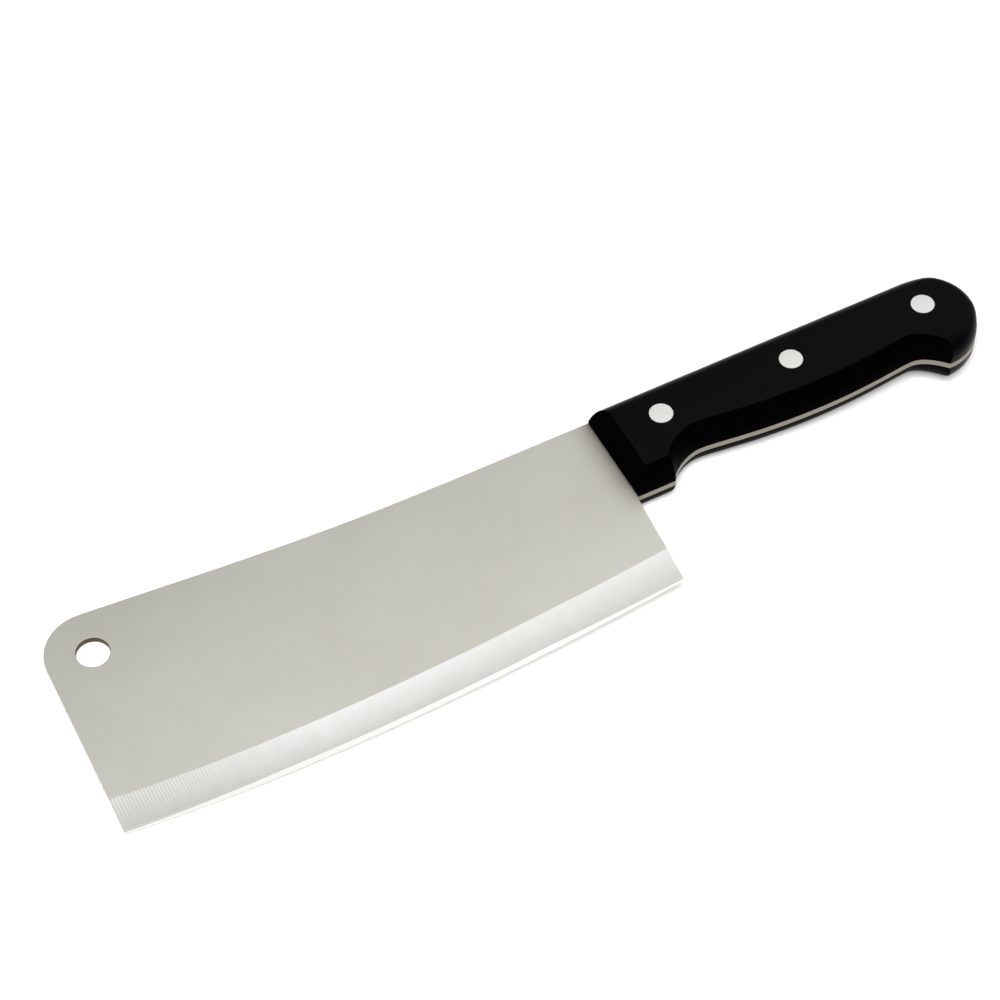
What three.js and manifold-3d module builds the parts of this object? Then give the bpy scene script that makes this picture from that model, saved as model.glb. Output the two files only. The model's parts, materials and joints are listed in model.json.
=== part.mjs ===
// Full-tang kitchen cleaver: a wide chopping blade whose tang runs the whole length of the handle,
// between two moulded scales that three two-piece compression rivets hold.
// Millimetres. The cleaver lies on its side: +X runs from the tip to the butt, +Y points to the
// spine and Z is square to the blade. While it is drawn, X = 0 is the front of the handle, Y = 0 is
// the line of the rivets and Z = 0 is the middle of the blade's thickness.

import * as THREE from 'three';
import { mergeVertices } from 'three/addons/utils/BufferGeometryUtils.js';
import Module from 'manifold-3d';

// Blade
const BLADE_LENGTH = 177.8; // handle front to the tip
const BLADE_THICKNESS = 2;
const SPINE_HEIGHT = 12; // spine above the rivet line, beside the handle
const SPINE_RISE = 6.6; // how far the spine climbs on its way to the tip
const SPINE_CLIMB_ANGLE = 4.5; // degrees, the spine's slope where it meets the tip's corner
const TIP_RADIUS = 14; // round corner between spine and toe
const TOE_DEPTH = 54.4; // cutting edge below the rivet line, at the toe
const TOE_LEAN_ANGLE = 1.4; // degrees, the toe leans forward towards the edge
const HEEL_DEPTH = 51.3; // cutting edge below the rivet line, at the heel
const HEEL_LEAN_ANGLE = 3.6; // degrees, the heel leans forward towards the edge
const HEEL_SETBACK = 0.5; // top of the heel ahead of the handle's front
const EDGE_BOW = 4.35; // bow of the cutting edge below a straight line from toe to heel
const HANGING_HOLE_DIAMETER = 10;

// Grind on both sides of the edge
const GRIND_WIDTH = 11.7; // wide hollow-ground bevel, measured in from the edge
const GRIND_WHEEL_DIAMETER = 200; // round of the wheel that hollows the wide bevel
const HONE_WIDTH = 1.55; // narrow honed bevel, measured in from the edge
const HONE_THICKNESS = 0.7; // blade thickness left where the honed bevel starts
const EDGE_THICKNESS = 0.1; // flat left on the cutting edge
const GRIND_OVERRUN = 6; // how far the grinding wheel runs past the steel

// Handle outline, shared by the tang and both scales
const HANDLE_LENGTH = 124.3;
const GUARD_LENGTH = 13.1; // finger guard under the front of the handle
const GUARD_DEPTH = 19.2; // below the rivet line
const GUARD_CORNER_RADIUS = 1.2;
const FINGER_COVE_DISTANCE = 11.8; // guard to the deepest point of the finger cove
const FINGER_COVE_DEPTH = 12; // belly below the rivet line, in the finger cove
const SWELL_DEPTH = 15.15; // belly below the rivet line, at the palm swell
const BUTT_COVE_INSET = 26.3; // butt end to the cove ahead of the hook
const BUTT_COVE_DEPTH = 12.95; // belly below the rivet line, in that cove
const BUTT_RADIUS = 15.85;
const BUTT_DROP = 3.25; // centre of the round butt below the rivet line
const HOOK_ANGLE = 1.7; // degrees that the butt's round runs on past its lowest point

// Scale
const SCALE_THICKNESS = 7.75;
const FRONT_LAND = 1; // upright strip at the foot of the sloping front
const FRONT_SLOPE = 4.5; // setback of the flat face from the handle's front
const TOP_ROUNDING = 5.8; // rounding along the spine side and at the hook
const BUTT_ROUNDING = 3.3; // tighter rounding of the butt's shoulder, between those two
const SHOULDER_ANGLE = 20; // degrees, middle of the shoulder above the centre of the round butt
const SHOULDER_TIGHT_ANGLE = 28; // degrees to each side that keep the tight rounding
const SHOULDER_END_ANGLE = 65; // degrees to each side where it has widened out again
const BELLY_DRAFT = 4.5; // how far the bulged belly wall has leaned in where it meets the face
const BELLY_LEAN_ANGLE = 6; // degrees, the belly wall's lean where it leaves the tang
const BELLY_EDGE_RADIUS = 1; // soft edge between belly wall and face
const FRONT_EDGE_RADIUS = 0.8; // soft edge between sloping front and face

// Rivets
const RIVET_FRONT_INSET = 18; // handle front to the first rivet
const RIVET_BUTT_INSET = 15.2; // butt end to the last rivet
const RIVET_MIDDLE_SHIFT = -0.9; // middle rivet from halfway between the other two
const RIVET_HEAD_DIAMETER = 7.5;
const RIVET_HEAD_THICKNESS = 2;
const SLEEVE_DIAMETER = 5;
const PIN_DIAMETER = 3.4;
const SLEEVE_GAP = 1.5; // sleeve's open end to the pin's head
const PIN_GAP = 1; // pin's end to the bottom of the sleeve's bore
const FIT_CLEARANCE = 0.3; // all round a rivet in its bore and a pin in its sleeve

// Fineness of the curves
const EDGE_STEPS = 36;
const HOLLOW_STEPS = 6;
const SWEEP_STEPS = 14;
const CORNER_STEPS = 16;
const BUTT_STEPS = 26;
const BELLY_STEPS = 10;
const GUARD_CORNER_STEPS = 4;
const ROUNDING_STEPS = 9;
const CREASE_STEPS = 3;
const BORE_SIDES = 40;
const RIVET_SIDES = 48;

// Shape of the free curves, as shares of their length
const SPINE_LEVEL_SHARE = 0.31; // straight stretch of the spine, from the handle
const SPINE_EASE_SHARE = 0.585; // pull point that holds the spine level
const SPINE_LIFT_SHARE = 0.246; // pull point that leads the spine up to the tip
const EDGE_BOW_SHARE = 0.384; // deepest bow of the edge, from the toe
const SWELL_SHARE = 0.555; // palm swell, from the finger cove to the butt cove
const COVE_RISE_ALONG = 0.12; // pull point behind the guard, along the way to the finger cove
const COVE_RISE_UP = 0.36; // and up it
const COVE_LEVEL_BEFORE = 0.43; // how long the belly runs level into the finger cove
const COVE_LEVEL_AFTER = 0.15; // and out of it
const SWELL_LEVEL_BEFORE = 0.55; // into the palm swell
const SWELL_LEVEL_AFTER = 0.51; // and out of it
const BUTT_COVE_LEVEL_BEFORE = 0.15; // into the cove ahead of the hook
const BUTT_COVE_LEVEL_AFTER = 0.32; // and out of it
const HOOK_SWEEP_ALONG = 0.35; // pull point that leads down to the hook, along the way back from it
const HOOK_SWEEP_UP = 0.62; // and up it
const CREASE_START = 0.55; // where the belly's edge round starts, of a quarter turn

const HALF_BLADE = BLADE_THICKNESS / 2;
const HALF_HANDLE = HALF_BLADE + SCALE_THICKNESS;
const topRounding = Math.min(TOP_ROUNDING, SCALE_THICKNESS);
const buttRounding = Math.min(BUTT_ROUNDING, SCALE_THICKNESS);
const radians = THREE.MathUtils.degToRad;
const point = (x, y) => new THREE.Vector2(x, y);
const polar = (centre, radius, angle) =>
  point(centre.x + radius * Math.cos(angle), centre.y + radius * Math.sin(angle));

const buttCentre = point(HANDLE_LENGTH - BUTT_RADIUS, -BUTT_DROP);
const hookAngle = -Math.PI / 2 - radians(HOOK_ANGLE);
const rivetFrontX = RIVET_FRONT_INSET;
const rivetRearX = HANDLE_LENGTH - RIVET_BUTT_INSET;
const rivetMiddleX = (rivetFrontX + rivetRearX) / 2 + RIVET_MIDDLE_SHIFT;
const RIVETS = { front: rivetFrontX, middle: rivetMiddleX, rear: rivetRearX };

const wasm = await Module();
wasm.setup();

// Closed geometry to a solid that can be cut
function toSolid(geometry) {
  const bare = geometry.clone();
  bare.deleteAttribute('normal');
  bare.deleteAttribute('uv');
  const merged = mergeVertices(bare);
  const mesh = new wasm.Mesh({
    numProp: 3,
    vertProperties: Float32Array.from(merged.attributes.position.array),
    triVerts: Uint32Array.from(merged.index.array),
  });
  return new wasm.Manifold(mesh);
}

// Cut solid back to geometry
function toGeometry(solid) {
  const { vertProperties, triVerts } = solid.getMesh();
  const geometry = new THREE.BufferGeometry();
  geometry.setAttribute('position', new THREE.BufferAttribute(vertProperties, 3));
  geometry.setIndex(new THREE.BufferAttribute(triVerts, 1));
  geometry.computeVertexNormals();
  return geometry;
}

// Closed skin through matching rings of points, with the two end outlines filled in flat.
// A ring turns anticlockwise when seen from the last ring.
function loft(rings, firstOutline, lastOutline) {
  const count = rings[0].length;
  const positions = rings.flat().flatMap((corner) => corner.toArray());
  const triangles = [];
  for (let ring = 0; ring + 1 < rings.length; ring += 1) {
    for (let side = 0; side < count; side += 1) {
      const a = ring * count + side;
      const b = ring * count + ((side + 1) % count);
      triangles.push(a, b, b + count);
      triangles.push(a, b + count, a + count);
    }
  }
  const lastStart = (rings.length - 1) * count;
  for (const [a, b, c] of THREE.ShapeUtils.triangulateShape(firstOutline, [])) {
    triangles.push(a, c, b);
  }
  for (const [a, b, c] of THREE.ShapeUtils.triangulateShape(lastOutline, [])) {
    triangles.push(lastStart + a, lastStart + b, lastStart + c);
  }
  const geometry = new THREE.BufferGeometry();
  geometry.setAttribute('position', new THREE.Float32BufferAttribute(positions, 3));
  geometry.setIndex(triangles);
  return geometry;
}

// Round bar square to the blade, from one height to another
function bar(x, y, diameter, fromZ, toZ, sides) {
  const geometry = new THREE.CylinderGeometry(diameter / 2, diameter / 2, toZ - fromZ, sides);
  geometry.rotateX(Math.PI / 2);
  geometry.translate(x, y, (fromZ + toZ) / 2);
  return geometry;
}

// Belly of the handle, from the guard's corner back to the hook
function bellyCurves() {
  const guardEnd = point(GUARD_LENGTH, -GUARD_DEPTH + GUARD_CORNER_RADIUS);
  const cove = point(GUARD_LENGTH + FINGER_COVE_DISTANCE, -FINGER_COVE_DEPTH);
  const buttCove = point(HANDLE_LENGTH - BUTT_COVE_INSET, -BUTT_COVE_DEPTH);
  const swell = point(THREE.MathUtils.lerp(cove.x, buttCove.x, SWELL_SHARE), -SWELL_DEPTH);
  const hook = polar(buttCentre, BUTT_RADIUS, hookAngle);
  // A pull point lies some share of the way along a stretch and up it
  const pull = (from, to, along, up) =>
    point(THREE.MathUtils.lerp(from.x, to.x, along), THREE.MathUtils.lerp(from.y, to.y, up));
  const stretch = (from, fromPull, toPull, to) => new THREE.CubicBezierCurve(from, fromPull, toPull, to);
  return [
    stretch(
      guardEnd,
      pull(guardEnd, cove, COVE_RISE_ALONG, COVE_RISE_UP),
      pull(cove, guardEnd, COVE_LEVEL_BEFORE, 0),
      cove,
    ),
    stretch(
      cove,
      pull(cove, swell, COVE_LEVEL_AFTER, 0),
      pull(swell, cove, SWELL_LEVEL_BEFORE, 0),
      swell,
    ),
    stretch(
      swell,
      pull(swell, buttCove, SWELL_LEVEL_AFTER, 0),
      pull(buttCove, swell, BUTT_COVE_LEVEL_BEFORE, 0),
      buttCove,
    ),
    stretch(
      buttCove,
      pull(buttCove, hook, BUTT_COVE_LEVEL_AFTER, 0),
      pull(hook, buttCove, HOOK_SWEEP_ALONG, HOOK_SWEEP_UP),
      hook,
    ),
  ];
}

// Points along the guard's corner and the belly
function bellyPoints() {
  const corner = new THREE.QuadraticBezierCurve(
    point(GUARD_LENGTH - GUARD_CORNER_RADIUS, -GUARD_DEPTH),
    point(GUARD_LENGTH, -GUARD_DEPTH),
    point(GUARD_LENGTH, -GUARD_DEPTH + GUARD_CORNER_RADIUS),
  );
  const points = corner.getPoints(GUARD_CORNER_STEPS);
  for (const curve of bellyCurves()) {
    points.push(...curve.getPoints(BELLY_STEPS).slice(1));
  }
  return points;
}

// Drawing-in of a round that is level with the face at its top, at a height above the tang
function roundedIn(centreIn, radius, height) {
  const up = Math.max(0, height - (SCALE_THICKNESS - radius));
  return centreIn - Math.sqrt(Math.max(0, radius ** 2 - up ** 2));
}

// Sloping front: an upright foot, a straight slope and a small round to the face
function frontIn(height) {
  const lean = Math.atan2(FRONT_SLOPE, SCALE_THICKNESS - FRONT_LAND);
  const slopeIn = (level) => Math.max(0, level - FRONT_LAND) * Math.tan(lean);
  const radius = FRONT_EDGE_RADIUS;
  if (height < SCALE_THICKNESS - radius + radius * Math.sin(lean)) {
    return slopeIn(height);
  }
  return roundedIn(slopeIn(SCALE_THICKNESS - radius) + radius / Math.cos(lean), radius, height);
}

// Belly wall: an arc that leaves the tang nearly upright, and a tighter round to the face
function bellyIn(height) {
  const lean = radians(BELLY_LEAN_ANGLE);
  const chord = point(SCALE_THICKNESS, BELLY_DRAFT);
  const bulge = chord.length() / 2 / Math.sin(chord.angle() - lean);
  const centreIn = bulge * Math.cos(lean);
  const centreDown = bulge * Math.sin(lean);
  const radius = BELLY_EDGE_RADIUS;
  const roundUp = SCALE_THICKNESS - radius + centreDown;
  const up = height + centreDown;
  if (up < (roundUp * bulge) / (bulge - radius)) {
    return centreIn - Math.sqrt(bulge ** 2 - up ** 2);
  }
  return roundedIn(centreIn - Math.sqrt((bulge - radius) ** 2 - roundUp ** 2), radius, height);
}

// Spine side: an upright wall and a quarter round to the face
function topIn(height) {
  return roundedIn(topRounding, topRounding, height);
}

// Butt: the same at the spine and at the hook, and tighter at the shoulder between them
function buttIn(height, angle) {
  const away = Math.abs(angle - radians(SHOULDER_ANGLE));
  const [tight, end] = [radians(SHOULDER_TIGHT_ANGLE), radians(SHOULDER_END_ANGLE)];
  const wideShare = THREE.MathUtils.smoothstep(away, tight, end);
  return THREE.MathUtils.lerp(roundedIn(buttRounding, buttRounding, height), topIn(height), wideShare);
}

// Where a line of travel from a start point meets a circle ahead of it
function meetCircle(start, direction, centre, radius) {
  const away = start.clone().sub(centre);
  const along = away.dot(direction);
  const reach = Math.sqrt(along ** 2 - away.lengthSq() + radius ** 2);
  return start.clone().addScaledVector(direction, reach - along);
}

// Outline of the handle at a height above the tang, anticlockwise from the guard's front corner
// to the spine's front corner
function handleOutline(height) {
  const front = frontIn(height);
  const top = topIn(height);
  const belly = bellyIn(height);
  const wall = bellyPoints().map(({ x, y }) => point(x, y + belly));
  const hookRun = bellyCurves().at(-1).getTangent(1);
  const hookRadius = BUTT_RADIUS - buttIn(height, hookAngle);
  const hook = meetCircle(wall.pop(), hookRun, buttCentre, hookRadius);
  const hookTurn = Math.atan2(hook.y - buttCentre.y, hook.x - buttCentre.x);
  const butt = [];
  for (let step = 0; step <= BUTT_STEPS; step += 1) {
    const angle = THREE.MathUtils.lerp(hookTurn, Math.PI / 2, step / BUTT_STEPS);
    butt.push(polar(buttCentre, BUTT_RADIUS - buttIn(height, angle), angle));
  }
  const guardFront = point(front, belly - GUARD_DEPTH);
  const spineFront = point(front, SPINE_HEIGHT - top);
  return [guardFront, ...wall, ...butt, spineFront];
}

// Cutting edge, from the toe to the heel
function edgeCurve(toe, heel) {
  const pull = toe.clone().lerp(heel, EDGE_BOW_SHARE);
  pull.y -= 2 * EDGE_BOW;
  return new THREE.QuadraticBezierCurve(toe, pull, heel);
}

// Corners that the blade's outline is drawn from
function bladeCorners() {
  const climb = radians(SPINE_CLIMB_ANGLE);
  const toeLean = radians(TOE_LEAN_ANGLE);
  const tipCentre = point(-BLADE_LENGTH + TIP_RADIUS, SPINE_HEIGHT + SPINE_RISE - TIP_RADIUS);
  const toeTop = polar(tipCentre, TIP_RADIUS, Math.PI - toeLean);
  const toeX = toeTop.x - (toeTop.y + TOE_DEPTH) * Math.tan(toeLean);
  const heelDrop = HEEL_DEPTH - GUARD_DEPTH;
  const heelX = -HEEL_SETBACK - heelDrop * Math.tan(radians(HEEL_LEAN_ANGLE));
  return {
    tipCentre,
    tipStart: Math.PI / 2 - climb,
    tipEnd: Math.PI - toeLean,
    spineEnd: polar(tipCentre, TIP_RADIUS, Math.PI / 2 - climb),
    toe: point(toeX, -TOE_DEPTH),
    heel: point(heelX, -HEEL_DEPTH),
    heelTop: point(-HEEL_SETBACK, -GUARD_DEPTH),
  };
}

// Outline of blade and tang in one piece, anticlockwise from the top of the heel
function blankOutline() {
  const { tipCentre, tipStart, tipEnd, spineEnd, toe, heel, heelTop } = bladeCorners();
  const spineRun = -spineEnd.x;
  const levelEnd = point(-spineRun * SPINE_LEVEL_SHARE, SPINE_HEIGHT);
  const ease = point(-spineRun * SPINE_EASE_SHARE, SPINE_HEIGHT);
  const liftRun = spineRun * SPINE_LIFT_SHARE;
  const lift = point(spineEnd.x + liftRun, spineEnd.y - liftRun * Math.tan(radians(SPINE_CLIMB_ANGLE)));
  const sweep = new THREE.CubicBezierCurve(levelEnd, ease, lift, spineEnd);
  const tip = new THREE.EllipseCurve(
    tipCentre.x, tipCentre.y, TIP_RADIUS, TIP_RADIUS, tipStart, tipEnd,
  );
  return [
    heelTop,
    ...handleOutline(0),
    ...sweep.getPoints(SWEEP_STEPS),
    ...tip.getPoints(CORNER_STEPS).slice(1),
    ...edgeCurve(toe, heel).getPoints(EDGE_STEPS),
  ];
}

// Hollow of the wide bevel across the blade, as the round wheel leaves it, from the hone to the flat
function hollow() {
  const hone = point(HONE_WIDTH, HONE_THICKNESS / 2);
  const flat = point(GRIND_WIDTH, HALF_BLADE);
  const chord = flat.clone().sub(hone);
  const radius = GRIND_WHEEL_DIAMETER / 2;
  const lean = chord.angle();
  const halfTurn = Math.asin(chord.length() / 2 / radius);
  const foot = lean - Math.PI / 2;
  const wheel = polar(hone, radius, foot - halfTurn + Math.PI);
  const points = [];
  for (let step = 0; step <= HOLLOW_STEPS; step += 1) {
    points.push(polar(wheel, radius, foot + halfTurn * (2 * (step / HOLLOW_STEPS) - 1)));
  }
  return points;
}

// Steel that the wheel takes off one side of the edge: what lies between the blade's flat and the
// two bevels, carried along the edge and past both its ends
function grind(side) {
  const { toe, heel } = bladeCorners();
  const curve = edgeCurve(toe, heel);
  const clear = HALF_BLADE + GRIND_OVERRUN;
  const wedge = [
    point(-GRIND_OVERRUN, EDGE_THICKNESS / 2),
    point(0, EDGE_THICKNESS / 2),
    ...hollow(),
    point(GRIND_WIDTH, clear),
    point(-GRIND_OVERRUN, clear),
  ].map((corner) => point(corner.x, side * corner.y));
  if (side < 0) {
    wedge.reverse();
  }
  const stations = curve.getPoints(EDGE_STEPS).map((place, step) => {
    const run = curve.getTangent(step / EDGE_STEPS);
    return { place, run };
  });
  const first = stations[0];
  const last = stations.at(-1);
  const lead = { place: first.place.clone().addScaledVector(first.run, -GRIND_OVERRUN), run: first.run };
  const trail = { place: last.place.clone().addScaledVector(last.run, GRIND_OVERRUN), run: last.run };
  const rings = [lead, ...stations, trail].map(({ place, run }) =>
    wedge.map((corner) => new THREE.Vector3(
      place.x - run.y * corner.x,
      place.y + run.x * corner.x,
      corner.y,
    )));
  return loft(rings, wedge, wedge);
}

// Blade with its full tang: the stamped blank, holed, then ground on both sides
function bladeGeometry() {
  const blank = new THREE.ExtrudeGeometry(new THREE.Shape(blankOutline()), {
    depth: BLADE_THICKNESS,
    bevelEnabled: false,
  });
  blank.translate(0, 0, -HALF_BLADE);
  const { tipCentre } = bladeCorners();
  const holes = [{ x: tipCentre.x, y: tipCentre.y, diameter: HANGING_HOLE_DIAMETER }];
  for (const x of Object.values(RIVETS)) {
    holes.push({ x, y: 0, diameter: SLEEVE_DIAMETER + 2 * FIT_CLEARANCE });
  }
  let blade = toSolid(blank);
  for (const { x, y, diameter } of holes) {
    const punch = bar(x, y, diameter, -BLADE_THICKNESS, BLADE_THICKNESS, BORE_SIDES);
    blade = blade.subtract(toSolid(punch));
  }
  for (const side of [1, -1]) {
    blade = blade.subtract(toSolid(grind(side)));
  }
  return toGeometry(blade);
}

// Handle scale on one side of the tang: lofted from the tang's outline to its flat face, then
// bored for the rivets and counterbored for their heads
function scaleGeometry(side) {
  const heights = new Set([0, FRONT_LAND]);
  for (let step = 0; step <= ROUNDING_STEPS; step += 1) {
    const turn = (step / ROUNDING_STEPS) * (Math.PI / 2);
    heights.add(SCALE_THICKNESS - topRounding + topRounding * Math.sin(turn));
  }
  for (let step = 0; step < CREASE_STEPS; step += 1) {
    const turn = THREE.MathUtils.lerp(CREASE_START, 1, step / CREASE_STEPS) * (Math.PI / 2);
    heights.add(SCALE_THICKNESS - BELLY_EDGE_RADIUS + BELLY_EDGE_RADIUS * Math.sin(turn));
  }
  const levels = [...heights].sort((a, b) => side * (a - b));
  const outlines = levels.map(handleOutline);
  const rings = outlines.map((outline, level) =>
    outline.map(({ x, y }) => new THREE.Vector3(x, y, side * (HALF_BLADE + levels[level]))));
  let scale = toSolid(loft(rings, outlines[0], outlines.at(-1)));
  const seat = HALF_HANDLE - RIVET_HEAD_THICKNESS;
  const above = HALF_HANDLE + RIVET_HEAD_THICKNESS;
  for (const x of Object.values(RIVETS)) {
    const [seatLow, seatHigh] = [side * seat, side * above].sort((a, b) => a - b);
    const bore = bar(x, 0, SLEEVE_DIAMETER + 2 * FIT_CLEARANCE, -above, above, BORE_SIDES);
    const sink = bar(x, 0, RIVET_HEAD_DIAMETER + 2 * FIT_CLEARANCE, seatLow, seatHigh, BORE_SIDES);
    scale = scale.subtract(toSolid(bore)).subtract(toSolid(sink));
  }
  return toGeometry(scale);
}

// Hollow half of a rivet: a flat head on the front scale and a sleeve through the handle
function sleeveGeometry() {
  const sleeveEnd = -HALF_HANDLE + RIVET_HEAD_THICKNESS + SLEEVE_GAP;
  const headFoot = HALF_HANDLE - RIVET_HEAD_THICKNESS;
  const boreRadius = PIN_DIAMETER / 2 + FIT_CLEARANCE;
  const profile = [
    point(0, headFoot),
    point(boreRadius, headFoot),
    point(boreRadius, sleeveEnd),
    point(SLEEVE_DIAMETER / 2, sleeveEnd),
    point(SLEEVE_DIAMETER / 2, headFoot),
    point(RIVET_HEAD_DIAMETER / 2, headFoot),
    point(RIVET_HEAD_DIAMETER / 2, HALF_HANDLE),
    point(0, HALF_HANDLE),
  ];
  return new THREE.LatheGeometry(profile, RIVET_SIDES).rotateX(Math.PI / 2);
}

// Solid half of a rivet: a flat head on the back scale and a pin up into the sleeve
function pinGeometry() {
  const headTop = -HALF_HANDLE + RIVET_HEAD_THICKNESS;
  const pinEnd = HALF_HANDLE - RIVET_HEAD_THICKNESS - PIN_GAP;
  const profile = [
    point(0, -HALF_HANDLE),
    point(RIVET_HEAD_DIAMETER / 2, -HALF_HANDLE),
    point(RIVET_HEAD_DIAMETER / 2, headTop),
    point(PIN_DIAMETER / 2, headTop),
    point(PIN_DIAMETER / 2, pinEnd),
    point(0, pinEnd),
  ];
  return new THREE.LatheGeometry(profile, RIVET_SIDES).rotateX(Math.PI / 2);
}

// Finishes, a material of its own for each piece
const finish = (color, metalness, roughness) =>
  new THREE.MeshStandardMaterial({ color, metalness, roughness });
const satinSteel = () => finish(0xc3c1bb, 1, 0.36);
const blackAcetal = () => finish(0x141518, 0, 0.38);
const rivetAluminium = () => finish(0xdcdcd8, 1, 0.3);

const cleaver = new THREE.Group();

function addPiece(name, geometry, material, x = 0) {
  const piece = new THREE.Mesh(geometry, material);
  piece.name = name;
  piece.position.x = x;
  cleaver.add(piece);
}

addPiece('blade', bladeGeometry(), satinSteel());
addPiece('front_scale', scaleGeometry(1), blackAcetal());
addPiece('back_scale', scaleGeometry(-1), blackAcetal());
for (const [place, x] of Object.entries(RIVETS)) {
  addPiece(`rivet_sleeve_${place}`, sleeveGeometry(), rivetAluminium(), x);
  addPiece(`rivet_pin_${place}`, pinGeometry(), rivetAluminium(), x);
}

// The origin is under the middle of the cleaver, level with the back scale's flat face
const bounds = new THREE.Box3().setFromObject(cleaver);
const middle = bounds.getCenter(new THREE.Vector3());
cleaver.position.set(-middle.x, -middle.y, -bounds.min.z);

export default cleaver;
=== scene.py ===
# %% [markdown]
# # A full-tang kitchen cleaver
#
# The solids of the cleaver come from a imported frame: one steel blade whose tang runs the whole
# length of the handle, two moulded scales, and three rivets of two halves each. This script dresses
# them. It gives each piece the small edges that a maker breaks or moulds, and a finish, then lays
# the cleaver on a pale table under soft studio light.

import json
from math import atan2, cos, pi, radians, sin

import bmesh
import bpy
from mathutils import Matrix, Quaternion, Vector


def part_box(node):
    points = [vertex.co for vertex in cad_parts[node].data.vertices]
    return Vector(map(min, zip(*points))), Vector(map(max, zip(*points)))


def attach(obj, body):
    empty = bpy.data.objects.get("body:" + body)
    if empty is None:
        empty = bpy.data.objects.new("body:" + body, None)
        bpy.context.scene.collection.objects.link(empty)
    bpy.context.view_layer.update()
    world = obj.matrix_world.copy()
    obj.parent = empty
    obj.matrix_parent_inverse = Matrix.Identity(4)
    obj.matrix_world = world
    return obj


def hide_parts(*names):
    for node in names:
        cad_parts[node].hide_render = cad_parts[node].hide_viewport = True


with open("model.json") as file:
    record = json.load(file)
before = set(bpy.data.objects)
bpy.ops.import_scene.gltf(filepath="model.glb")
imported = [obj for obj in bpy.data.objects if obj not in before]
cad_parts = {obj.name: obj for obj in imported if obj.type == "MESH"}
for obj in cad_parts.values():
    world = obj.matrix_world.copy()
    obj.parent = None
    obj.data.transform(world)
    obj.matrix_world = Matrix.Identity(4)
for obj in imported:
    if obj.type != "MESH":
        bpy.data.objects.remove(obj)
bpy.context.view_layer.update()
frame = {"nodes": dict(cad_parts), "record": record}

MM = 0.001
blade_low, blade_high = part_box("blade")
handle_low, handle_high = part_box("back_scale")
blade_middle = (blade_low.z + blade_high.z) / 2

# %% [markdown]
# ## The camera
#
# The photographer stood over the cutting edge and looked down at a little more than 50 degrees,
# with a long lens from about a metre. A camera can be aimed with a constraint, but a heading, a
# height and a small roll, all written as angles, are easier to read and to change.

# %% Camera
CAMERA_AZIMUTH = -26.6
CAMERA_ELEVATION = 53.0
CAMERA_ROLL = -0.96
CAMERA_DISTANCE = 929.5 * MM
CAMERA_LENS = 113.72
CAMERA_NEAREST = 10 * MM
CAMERA_AIM = Vector((-8.76, 18.9, 8.75)) * MM

azimuth, elevation = radians(CAMERA_AZIMUTH), radians(CAMERA_ELEVATION)
level = cos(elevation)
backward = Vector((sin(azimuth) * level, -cos(azimuth) * level, sin(elevation)))
camera = bpy.data.objects.new("camera", bpy.data.cameras.new("camera"))
camera.data.lens = CAMERA_LENS
camera.data.clip_start = CAMERA_NEAREST
camera.location = CAMERA_AIM + backward * CAMERA_DISTANCE
camera.rotation_mode = "QUATERNION"
roll = Quaternion((0, 0, 1), radians(CAMERA_ROLL))
camera.rotation_quaternion = (-backward).to_track_quat("-Z", "Y") @ roll
bpy.context.scene.collection.objects.link(camera)
bpy.context.scene.camera = camera
print("camera at", [round(place, 3) for place in camera.location])

# %% [markdown]
# ## Colours and nodes
#
# Finishes are written as the hex colours that a designer would pick, and the shader works in linear
# light, so one function turns one into the other. A second one adds a shader node: it sets the
# node's own options, fills each input, with a link where the value is another node's output, and
# gives back the output that the next node needs.


# %% Colour and node helpers
def linear(hex_colour):
    channels = [int(hex_colour[start:start + 2], 16) / 255 for start in (1, 3, 5)]
    light = [c / 12.92 if c <= 0.04045 else ((c + 0.055) / 1.055) ** 2.4 for c in channels]
    return (*light, 1.0)


def add_node(tree, kind, output, inputs, **options):
    node = tree.nodes.new("ShaderNode" + kind)
    for name, value in options.items():
        setattr(node, name, value)
    for name, value in inputs.items():
        if isinstance(value, bpy.types.NodeSocket):
            tree.links.new(value, node.inputs[name])
        else:
            node.inputs[name].default_value = value
    return node.outputs[output] if output is not None else node


def new_finish(name):
    finish = bpy.data.materials.new(name)
    finish.use_nodes = True
    finish.node_tree.nodes.clear()
    return finish, finish.node_tree, add_node(finish.node_tree, "TexCoord", "Object", {})


def close_finish(tree, surface):
    shader = add_node(tree, "BsdfPrincipled", "BSDF", surface)
    add_node(tree, "OutputMaterial", None, {"Surface": shader})


WHITE = linear("#ffffff")
MIX_FACTOR, MIX_FIRST, MIX_SECOND, MIXED = 0, 6, 7, 2  # a Mix node's colours have numbered sockets
NOISE_SPAN = {"From Min": 0.3, "From Max": 0.7}  # most of a noise lies between these
print("helpers ready")

# %% [markdown]
# ## Satin steel: the blade's flats
#
# Stainless sheet, belt-ground across the blade and left satin. To the eye that is a soft reflection
# that spreads along the blade, a faint streak from spine to edge and slow, cloudy changes in tone.
# A noise that is squeezed along the blade and stretched across it gives the grain. The real grit
# lines are too fine to show from here, so they are drawn a few tenths of a millimetre apart.

# %% Satin steel: grit and clouds
GRIT_SPACING = 0.3 * MM
GRIT_LENGTH = 25 * MM
GRIT_SQUEEZE = (1 / GRIT_SPACING, 1 / GRIT_LENGTH, 1 / GRIT_LENGTH)
GRIT_TONE = 0.4  # how much of the tone the grit makes, next to 1 for the clouds
SCRATCH_DETAIL = 2.0
CLOUD_SIZE = 45 * MM
CLOUD_DETAIL = 7.0
CLOUD_ROUGHNESS = 0.72


def scratches(tree, place, squeeze):
    squeezed = add_node(tree, "Mapping", "Vector", {"Vector": place, "Scale": squeeze})
    noise = {"Vector": squeezed, "Scale": 1.0, "Detail": SCRATCH_DETAIL}
    return add_node(tree, "TexNoise", "Fac", noise)


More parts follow.
